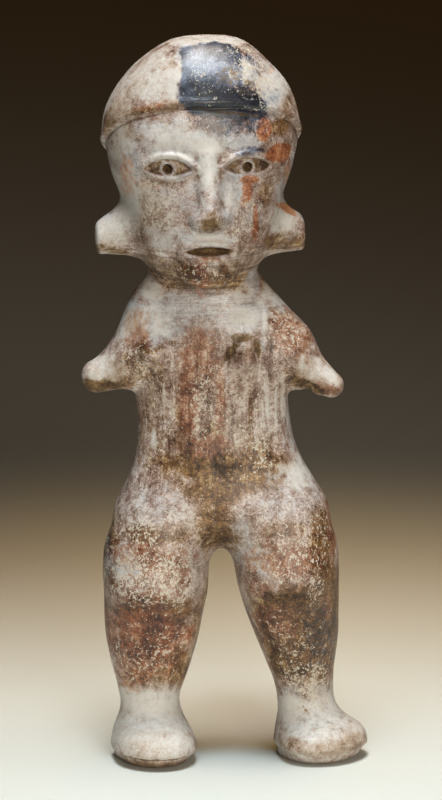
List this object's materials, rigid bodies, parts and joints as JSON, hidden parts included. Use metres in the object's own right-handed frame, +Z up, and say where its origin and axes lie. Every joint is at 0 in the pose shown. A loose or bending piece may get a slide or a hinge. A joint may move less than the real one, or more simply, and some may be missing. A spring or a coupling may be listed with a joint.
{
  "type": "standing clay figure",
  "caption": "Hollow clay standing figure with a fitted cap, ear spools, stub arms, broad hips and heavy legs, set on the flats of its own soles.",
  "frame": {"origin": "on the ground, under the middle of the figure's outline box, between its two feet", "axes": "+Z up the figure; the figure faces -Y; +X is to the viewer's right as seen from the front"},
  "size_m": [0.1284, 0.081, 0.33],
  "materials": {
    "burnished_clay": "low-fired clay, slipped and burnished, with fire clouds and a pale chalky deposit"
  },
  "bodies": {
    "root": {"figure": "burnished_clay"}
  },
  "joints": []
}
